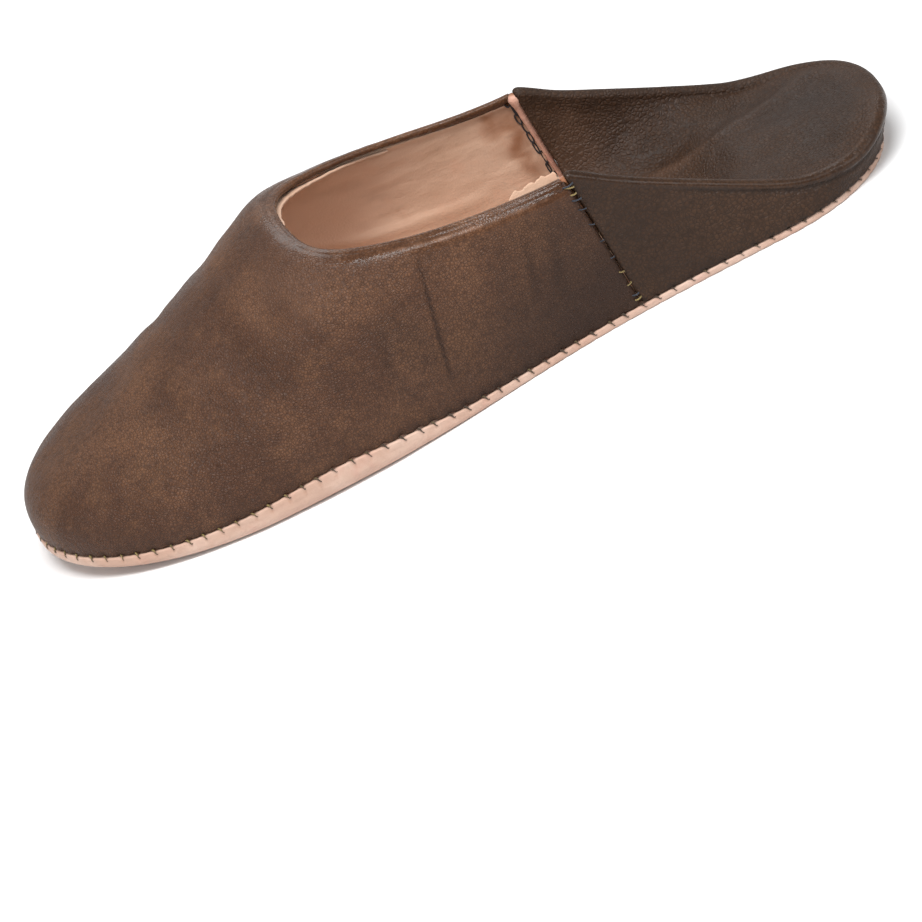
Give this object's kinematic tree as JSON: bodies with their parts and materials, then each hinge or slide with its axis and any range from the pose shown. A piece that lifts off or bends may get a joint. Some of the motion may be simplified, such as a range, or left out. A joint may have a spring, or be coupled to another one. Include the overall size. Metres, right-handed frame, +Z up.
{
  "type": "babouche slipper",
  "caption": "Soft leather slipper with a closed round toe, a sewn turned-up sole edge and a heel folded down onto the insole",
  "frame": {"origin": "middle of the slipper's plan, on the floor that the sole rests on", "axes": "+X to the toe, +Y to the lateral (outer) side of this left slipper, +Z up"},
  "size_m": [0.285, 0.102, 0.0672],
  "materials": {
    "natural_leather": "matte natural tan",
    "lining_leather": "matte natural tan",
    "brown_leather": "satin dark brown"
  },
  "bodies": {
    "root": {"outsole": "natural_leather", "insole": "lining_leather", "vamp": "brown_leather", "heel_quarter": "brown_leather"}
  },
  "joints": []
}
